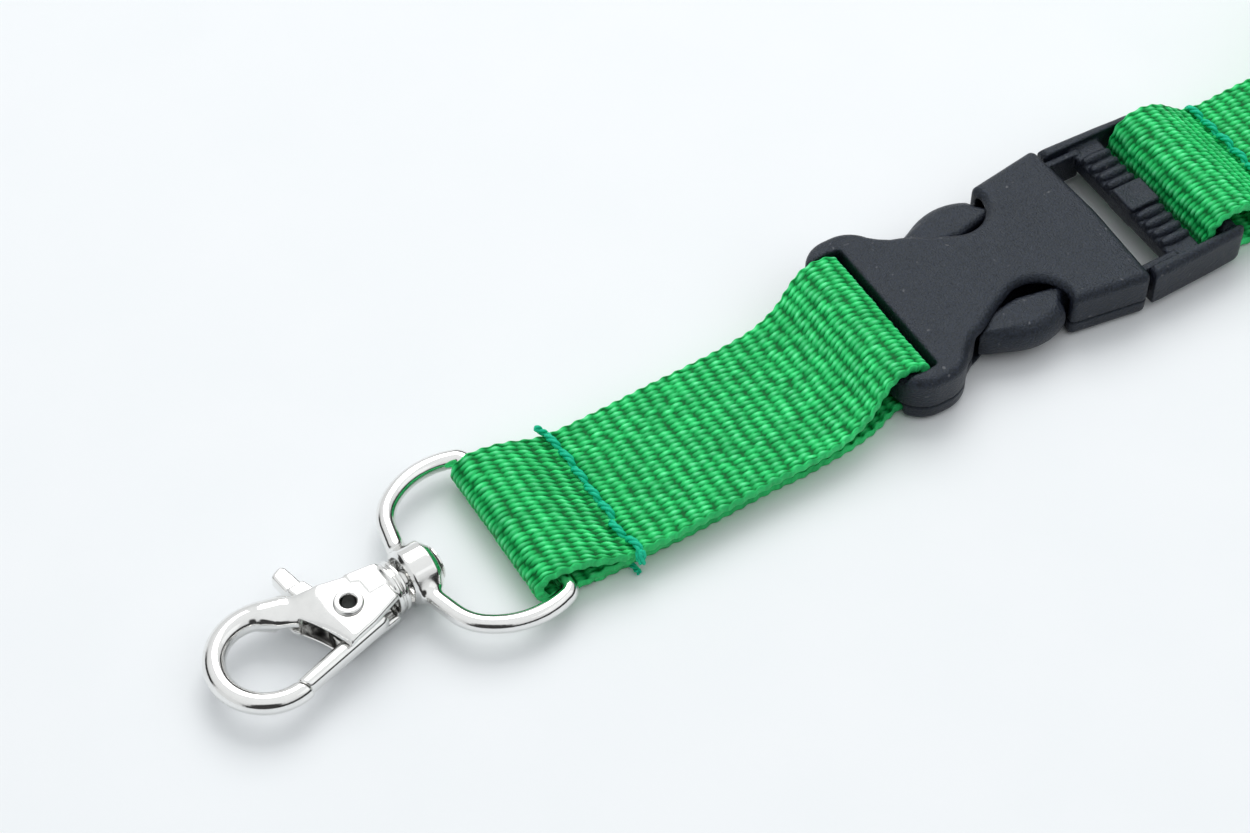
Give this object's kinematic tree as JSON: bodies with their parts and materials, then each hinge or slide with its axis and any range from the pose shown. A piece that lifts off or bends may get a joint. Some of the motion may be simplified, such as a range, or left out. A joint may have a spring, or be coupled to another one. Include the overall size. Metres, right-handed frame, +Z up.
{
  "type": "lanyard trigger hook with side-release buckle",
  "caption": "Lanyard end with a trigger hook on a swivelling D-ring, a sewn webbing loop, a side-release buckle and the neck strap folded and tied behind it.",
  "frame": {"origin": "centre of the female buckle's underside, on the surface the part lies on", "axes": "+X along the buckle from the hook to the neck strap, +Y across the webbing, +Z up"},
  "size_m": [0.2408, 0.029, 0.0166],
  "materials": {
    "nickel": "bright nickel plate",
    "spring_steel": "drawn wire",
    "webbing": "woven polyester",
    "thread": "twisted sewing thread",
    "buckle_plastic": "fine-grained acetal",
    "tie": "hook-and-loop tape"
  },
  "bodies": {
    "female_half": {"female_buckle": "buckle_plastic", "hook_strap": "webbing", "hook_strap_needle_thread": "thread", "hook_strap_bobbin_thread": "thread"},
    "ring": {"swivel_ring": "nickel"},
    "hook": {"hook_body": "nickel", "swivel_post": "nickel", "gate_rivet": "nickel", "gate_spring": "spring_steel"},
    "gate": {"gate_lever": "nickel"},
    "male_half": {"male_frame": "buckle_plastic", "neck_strap": "webbing", "neck_strap_needle_thread": "thread", "neck_strap_bobbin_thread": "thread", "hank_tie": "tie"},
    "latch_left": {"latch_arm_left": "buckle_plastic"},
    "latch_right": {"latch_arm_right": "buckle_plastic"}
  },
  "joints": [
    {"name": "ring_hinge", "type": "hinge", "parent": "female_half", "child": "ring", "pos_m": [-0.06444, -0.00262, 0.00273], "axis": [-0.0663, 0.9978, 0], "range_deg": [-100, 100]},
    {"name": "hook_swivel", "type": "hinge", "parent": "ring", "child": "hook", "pos_m": [-0.0777, -0.0035, 0.0034], "axis": [0.994, 0.1097, 0], "continuous": true},
    {"name": "gate_hinge", "type": "hinge", "parent": "hook", "child": "gate", "pos_m": [-0.08659, -0.00498, 0.0034], "axis": [0, 0, -1], "range_deg": [0, 28], "stiffness_Nm_per_rad": 0.02, "springref_deg": -22.92, "deforming": ["gate_spring"]},
    {"name": "plug_slide", "type": "slide", "parent": "female_half", "child": "male_half", "axis": [1, 0, 0], "range_m": [0, 0.026], "deforming": ["latch_arm_left", "latch_arm_right"]},
    {"name": "latch_left_flex", "type": "hinge", "parent": "male_half", "child": "latch_left", "pos_m": [0.0143, 0.0082, 0.00345], "axis": [0, 0, 1], "range_deg": [0, 12], "stiffness_Nm_per_rad": 0.3},
    {"name": "latch_right_flex", "type": "hinge", "parent": "male_half", "child": "latch_right", "pos_m": [0.0143, -0.0082, 0.00345], "axis": [0, 0, -1], "range_deg": [0, 12], "stiffness_Nm_per_rad": 0.3}
  ],
  "couplings": [
    {"joint": "latch_right_flex", "follows": "latch_left_flex", "ratio": 1}
  ]
}
